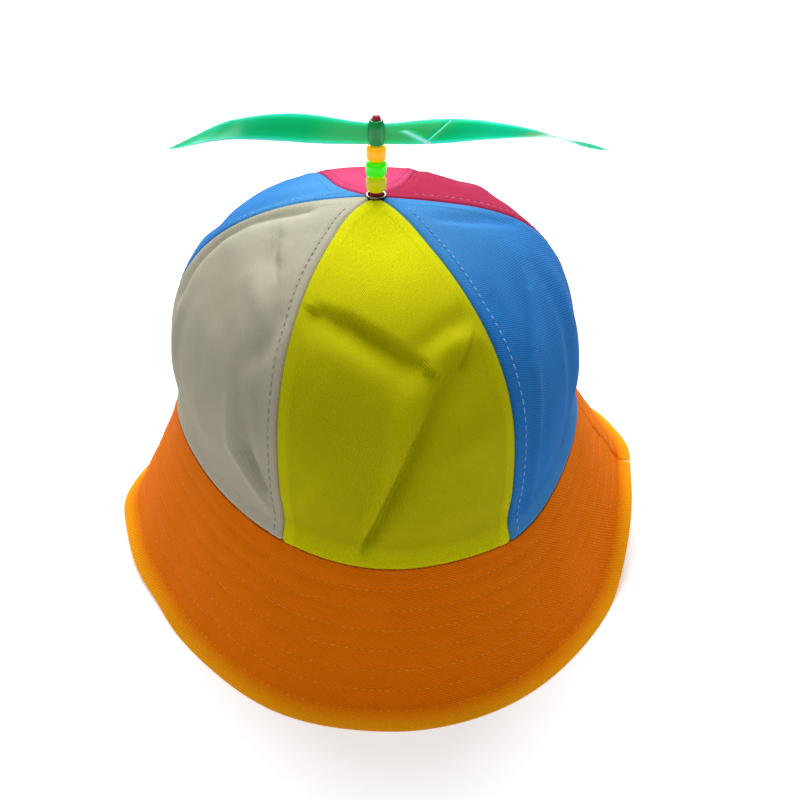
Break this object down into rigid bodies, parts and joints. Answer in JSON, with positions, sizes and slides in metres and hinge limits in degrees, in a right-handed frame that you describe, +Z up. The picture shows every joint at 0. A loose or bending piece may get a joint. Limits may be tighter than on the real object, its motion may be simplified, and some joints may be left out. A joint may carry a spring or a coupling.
{
  "type": "propeller beanie",
  "caption": "Soft cloth beanie sewn from coloured panels with a full drooping orange brim and a green toy propeller that spins on a beaded stem.",
  "frame": {"origin": "centre of the rim's footprint at the table, with the stem straight above it", "axes": "+Z up along the stem, -Y towards the front of the hat, +X towards the viewer's right when the front is faced"},
  "size_m": [0.222, 0.2719, 0.1773],
  "materials": {
    "cloth_yellow": "matt cotton twill",
    "cloth_blue": "matt cotton twill",
    "cloth_rose": "matt cotton twill",
    "cloth_grey": "matt cotton twill",
    "cloth_orange": "matt cotton twill over a stiff lining",
    "eyelet_metal": "dull nickel plate",
    "plastic_red": "gloss",
    "plastic_olive": "gloss",
    "plastic_green": "gloss",
    "plastic_amber": "gloss",
    "plastic_propeller": "gloss, slightly translucent"
  },
  "bodies": {
    "hat": {"panel_front": "cloth_yellow", "panel_front_right": "cloth_blue", "panel_back_right": "cloth_rose", "panel_back": "cloth_rose", "panel_back_left": "cloth_blue", "panel_front_left": "cloth_grey", "brim_front": "cloth_orange", "brim_back": "cloth_orange", "eyelet": "eyelet_metal", "stem": "plastic_red", "bead_lower": "plastic_olive", "bead_middle": "plastic_green", "bead_upper": "plastic_amber"},
    "propeller": {"propeller": "plastic_propeller"}
  },
  "joints": [
    {"name": "propeller_spin", "type": "hinge", "parent": "hat", "child": "propeller", "pos_m": [0, 0, 0.1705], "axis": [0, 0, 1], "continuous": true}
  ]
}
